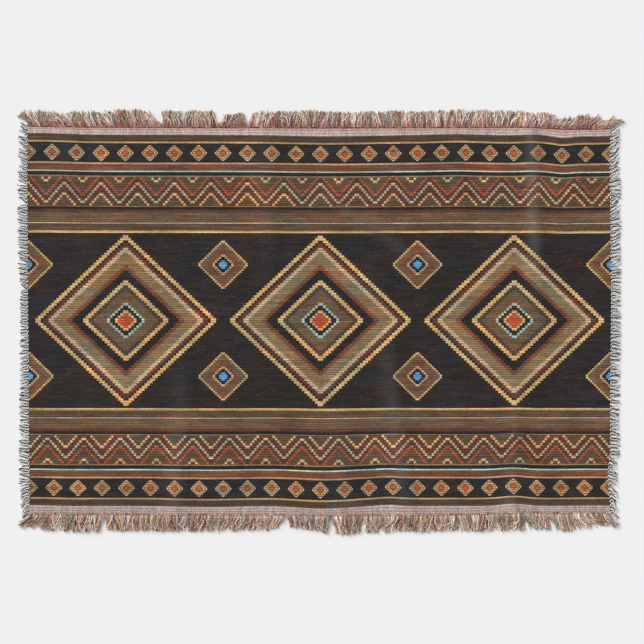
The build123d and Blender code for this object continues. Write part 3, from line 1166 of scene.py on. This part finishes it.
def clump_ends(side, start, end, spec, partings, layer, tufts, dice):
    """Paths and angles of the ends in one layer of one clump, and their places along the edge."""
    _, every, (low, high), usual_bends, (tuft_lean, scatter), parting = layer
    outward, run = SIDES[side]
    count = max(2, round((end - start) / every))
    numbers = np.arange(count) + dice.uniform(*PLACE_IN_SPACING, count)
    along = start + numbers * (end - start) / count
    share = (along - start) / (end - start)
    _, first_lean, last_lean, first_length, last_length = spec
    borders, draws = tufts
    tuft = np.searchsorted(borders[1:-1], along)
    in_tuft = (along - borders[tuft]) / (borders[tuft + 1] - borders[tuft]) * 2 - 1
    by_tuft = draws[:, tuft]
    by_end = dice.normal(0, 1, (5, count)).clip(-FURTHEST_END, FURTHEST_END)
    near_first = partings[0] * np.exp(-(along - start) / PARTING_WIDTH)
    near_last = partings[1] * np.exp(-(end - along) / PARTING_WIDTH)
    inside = 1 - CALMING * np.maximum(near_first, near_last)
    leans = first_lean + (last_lean - first_lean) * share + parting * (near_first - near_last)
    leans += (by_tuft[0] * tuft_lean + by_end[0] * scatter - in_tuft * TUFT_GATHER) * inside
    lengths = first_length + (last_length - first_length) * share
    uneven = LONGEST + TUFT_CUT * by_tuft[1] - END_CUT * np.abs(by_end[1])
    lengths *= CUT[side] * uneven * (1 - PARTING_CUT + PARTING_CUT * inside)
    waver, kink, curl = np.radians(usual_bends)
    kinks = kink * (by_tuft[2] + KINK_DRAW * by_end[3]) * inside
    bends = (waver * (1 + WAVER_DRAW * by_end[2]), kinks, curl * by_end[4])
    above = (0.5 + REST_DRAWS[0] * by_tuft[3] + REST_DRAWS[1] * by_end[1]).clip(0, 1)
    rest = low + (high - low) * above
    if side in WARP_SIDES:
        flat_roots = np.column_stack([along, np.full(count, (WARP_ROOT_AT - ROOT_DEPTH) * outward[1])])
    else:
        flat_roots = np.column_stack([np.full(count, (WEFT_ROOT_AT - ROOT_DEPTH) * outward[0]), along])
        rest += WHITE_OVER_BLACK * white_ends(side, count)
    signed = np.radians(leans) * (run[0] + run[1])
    return *end_paths(laid(flat_roots), SIDES[side], signed, lengths, bends, rest, dice), along


print("spacing of each layer, mm:", {name: layer[1] for name, layer in LAYERS.items()})

# %% [markdown]
# ## Knot the fringes onto the edges
# Each clump becomes one piece, because it stands for one solid: the bent ends of its layers, dyed
# and joined. Near the cloth the ends are tinted: redder and darker on the top, a little darker on
# the bottom. Every clump has a seed of its own, so that the fringe comes out the same each time.

# %% Make all the fringes
ROOT_TINTS = {
    "top": (0.85, 0.6, 0.62),
    "bottom": (0.97, 0.97, 1.0),
    "left": (1, 1, 1),
    "right": (1, 1, 1),
}
SEEDS_FOR_SIDE = 1000
YARN_SIZES = (0.88, 1.12)
YARN_CREASE = math.radians(80)

# The turn between two clumps that opens a parting fully, in degrees, and how open a corner is
PARTING_LEAN = 12.0
CORNER_PARTING = 0.6


def fringe_piece(side, number, start, end, spec, partings):
    """The ends of one clump as one piece that stands for its solid."""
    dice = np.random.default_rng(SEEDS_FOR_SIDE * list(SIDES).index(side) + number)
    name = f"ends_{side}_{number}"
    pieces = []
    tufts = tufts_of(start, end, dice)
    for kind in ("under", "over", "stray") if side in WARP_SIDES else ("weft",):
        layer = LAYERS[kind]
        paths, angles, along = clump_ends(side, start, end, spec, partings, layer, tufts, dice)
        sizes = dice.uniform(*YARN_SIZES, len(paths))
        if side in WARP_SIDES:
            colours = warp_colours(side, along, dice)
        else:
            colours = weft_colours(side, len(paths), dice)
        tint = ROOT_TINTS[side]
        pieces.append(bent_copies(name, layer[0], paths, angles, SIDES[side], sizes, colours, tint))
    select_only(*pieces)
    if len(pieces) > 1:
        bpy.ops.object.join()
    bpy.ops.object.shade_smooth_by_angle(angle=YARN_CREASE)
    return pieces[0]


fringes = {}
for side, clumps in CLUMPS.items():
    half_edge = HALF_LENGTH if side in WARP_SIDES else WARP_ROOT_AT
    total = sum(spec[0] for spec in clumps)
    start = -half_edge
    opened = [(after[1] - before[2]) / PARTING_LEAN for before, after in zip(clumps, clumps[1:])]
    partings = [CORNER_PARTING, *smooth(np.array(opened)), CORNER_PARTING]
    for number, spec in enumerate(clumps, start=1):
        end = start + 2 * half_edge * spec[0] / total
        beside = partings[number - 1 : number + 1]
        fringes[(side, number)] = fringe_piece(side, number, start, end, spec, beside)
        start = end
for yarn in (TWISTED_END, LOOSE_END, WEFT_END):
    bpy.data.objects.remove(yarn)
end_faces = sum(len(piece.data.polygons) for piece in fringes.values())
print("fringe pieces:", len(fringes), "faces:", end_faces)

# %% [markdown]
# ## The rows of stitches
# A row of short slanted stitches locks the last weft, so that the warp can't ravel. One stitch is a
# small sphere drawn out into a bead and turned a little, and its copies overlap along the row. The
# row follows the laid cloth's edge, over its folds.

# %% Sew the lock rows
STITCH_EVERY = 4.3
STITCH_LEVEL = 2.0
STITCH_SIZE = (3.1, 1.25, 1.35)
STITCH_SLANT = math.radians(24)
STITCH_SHIFT = 0.15
LOCK_SEED = 50
LOCK_PALETTES = {
    "top": {"wine": 9, "brown": 4, "dusty red": 8, "rose": 2},
    "bottom": {"wine": 1, "dusty red": 3, "rose": 6, "ecru": 5, "olive": 2, "taupe": 6},
}


def bead_stitch():
    """One stitch about the origin: its mesh, modelled once."""
    select_only()
    bpy.ops.mesh.primitive_uv_sphere_add(segments=8, ring_count=6, radius=1 * MM, location=(0, 0, 0))
    stitch = bpy.context.object
    stitch.name = "bead_stitch"
    bpy.ops.object.mode_set(mode="EDIT")
    bpy.ops.transform.rotate(value=math.radians(90), orient_axis="Y", center_override=(0, 0, 0))
    bpy.ops.transform.resize(value=STITCH_SIZE, center_override=(0, 0, 0))
    bpy.ops.transform.rotate(value=STITCH_SLANT, orient_axis="Z", center_override=(0, 0, 0))
    bpy.ops.object.mode_set(mode="OBJECT")
    return stitch


def copies_along(name, master, centres, shades):
    """One piece of many copies of a part, each laid with the cloth at its own flat place."""
    flat_points = (centres[:, None, :] + places_of(master.data)[None, :, :]).reshape(-1, 3)
    places = laid(flat_points[:, :2])
    places[:, 2] += flat_points[:, 2]
    piece = copies_of(name, master, places, shades)
    select_only(piece)
    bpy.ops.object.shade_smooth_by_angle(angle=YARN_CREASE)
    return piece


stitch = bead_stitch()
lock_rows = {}
for seed, (side, outward) in enumerate((("top", 1), ("bottom", -1))):
    dice = np.random.default_rng(LOCK_SEED + seed)
    count = round(FIELD_LENGTH / STITCH_EVERY)
    centres = np.full((count, 3), STITCH_LEVEL)
    centres[:, 0] = -HALF_LENGTH + (np.arange(count) + 0.5) * FIELD_LENGTH / count
    centres[:, 1] = outward * (LOCK_ROW_AT + LOCK_ROW_WIDTH / 2)
    centres[:, 1] += dice.uniform(-STITCH_SHIFT, STITCH_SHIFT, count)
    yarns = list(LOCK_PALETTES[side])
    chosen = drawn_yarn(LOCK_PALETTES[side], dice, count=count)
    shades = np.repeat([dye(yarns[number]) for number in chosen], len(stitch.data.vertices), axis=0)
    lock_rows[side] = copies_along(f"lock_stitches_{side}", stitch, centres, shades)
bpy.data.objects.remove(stitch)
print("stitches in each row:", count)

# %% [markdown]
# ## The selvedge cords
# The outermost warp is a thicker cord, which the weft turns round at each side. It is the edge cord
# twisted above, carried to each side and bent with the cloth. The first strand is dyed dark and the
# second pale, so that the twist reads as the black and white wefts that wrap it.

# %% Bend the cords along the sides
CORD_LEVEL = 1.6
selvedges = {}
for side, outward in (("left", -1), ("right", 1)):
    centre = np.array([[outward * (HALF_LENGTH + SELVEDGE_WIDTH / 2), -WARP_ROOT_AT, CORD_LEVEL]])
    strand = len(EDGE_CORD.data.vertices) // 2
    shades = np.repeat([dye("weft black"), dye("weft white")], strand, axis=0)
    selvedges[side] = copies_along(f"edge_cord_{side}", EDGE_CORD, centre, shades)
bpy.data.objects.remove(EDGE_CORD)
print("edge cords:", [len(cord.data.polygons) for cord in selvedges.values()], "faces each")

# %% [markdown]
# ## Yarn finish
# Cotton yarn is dull and slightly hairy. Its colour comes from the attribute that each end was
# given. Fine noise makes it lighter and darker along the fibres, and the same noise is the bump.

# %% Make the yarn materials
FIBRES_IN_METRE = 1400.0
FIBRE_SHADES = (0.82, 1.16)
FIBRE_RELIEF = 0.0003


def yarn_material(name, sheen):
    """A finish for yarn pieces, in the colour that each end carries."""
    material, tree, inputs = new_material(name, roughness=0.95, sheen=sheen)
    place = Reading(add_node(tree, "TexCoord").outputs["Object"])
    fibres = streaks(place, scale=FIBRES_IN_METRE, detail=3.0, roughness=0.65)
    shade = stretched(fibres, *FIBRE_SHADES, *NOISE_RANGE)
    dress(inputs, shaded(carried(tree, "yarn_colour", "Color"), shade), fibres, FIBRE_RELIEF)
    return material


SHEENS = {"Warp fringe": 0.15, "Weft fringe": 0.12, "Lock stitch": 0.1, "Edge cord": 0.12}
finishes = {name: yarn_material(f"{name} yarn", sheen) for name, sheen in SHEENS.items()}
for (side, _), piece in fringes.items():
    piece.data.materials.append(finishes["Warp fringe" if side in WARP_SIDES else "Weft fringe"])
for row in lock_rows.values():
    row.data.materials.append(finishes["Lock stitch"])
for cord in selvedges.values():
    cord.data.materials.append(finishes["Edge cord"])
print("yarn finishes:", len(finishes))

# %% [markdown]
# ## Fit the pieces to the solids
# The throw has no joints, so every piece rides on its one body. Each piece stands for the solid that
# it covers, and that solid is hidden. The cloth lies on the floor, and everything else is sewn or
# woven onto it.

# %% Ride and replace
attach(cloth, "root")
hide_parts("field", "heading_top", "heading_bottom")
for side, row in lock_rows.items():
    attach(row, "root")
    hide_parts(f"lock_row_{side}")
for side, cord in selvedges.items():
    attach(cord, "root")
    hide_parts(f"selvedge_{side}")
for (side, number), piece in fringes.items():
    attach(piece, "root")
    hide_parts(f"fringe_{side}_{number}")

# %% [markdown]
# ## Floor and light
# The floor is a plain pale sheet. A wide, soft sun comes from the upper left and the sky fills in
# the rest, and together they light white to just under full white, so a yarn's colour shows as it is
# written. The picture's background is the floor's own colour.

# %% Set the floor and the light
SKY_LEVEL = 0.5
SUN_LEVEL = 0.5
SUN_HEIGHT = 24.0
SUN_FROM = 135.0
SUN_WIDTH = 32.0
FLOOR_SIZE = 24.0
FLOOR_LEVEL = -0.0002
FLOOR_COLOUR = (0.871, 0.871, 0.871, 1)

select_only()
bpy.ops.mesh.primitive_grid_add(
    x_subdivisions=4, y_subdivisions=4, size=FLOOR_SIZE, location=(0, 0, FLOOR_LEVEL)
)
floor = bpy.context.object
floor.name = "floor"
floor_finish, _, floor_inputs = new_material("Pale floor", roughness=0.9, sheen=0.0, specular=0.0)
floor_inputs["Base Color"].default_value = FLOOR_COLOUR
floor.data.materials.append(floor_finish)

bpy.ops.object.light_add(
    type="SUN",
    rotation=(math.radians(90 - SUN_HEIGHT), 0, math.radians(SUN_FROM + 90)),
)
sun = bpy.context.object
sun.data.angle = math.radians(SUN_WIDTH)
sun.data.energy = math.pi * SUN_LEVEL / math.sin(math.radians(SUN_HEIGHT))

world = bpy.data.worlds.new("Pale studio")
bpy.context.scene.world = world
world.use_nodes = True
sky = world.node_tree
sky.nodes.clear()
lighting = add_node(sky, "Background", (1, 1, 1, 1), SKY_LEVEL)
seen = add_node(sky, "Background", FLOOR_COLOUR)
rays = add_node(sky, "LightPath").outputs
camera_ray, glossy_ray, passing_ray = (
    Reading(rays[name]) for name in ("Is Camera Ray", "Is Glossy Ray", "Is Transmission Ray")
)
either = camera_ray.maths("MAXIMUM", glossy_ray).maths("MAXIMUM", passing_ray)
choose = add_node(sky, "MixShader", either, Reading(lighting.outputs[0]), Reading(seen.outputs[0]))
add_node(sky, "OutputWorld", Reading(choose.outputs[0]))
bpy.context.scene.view_settings.view_transform = "Standard"
print("sun energy:", round(sun.data.energy, 3))
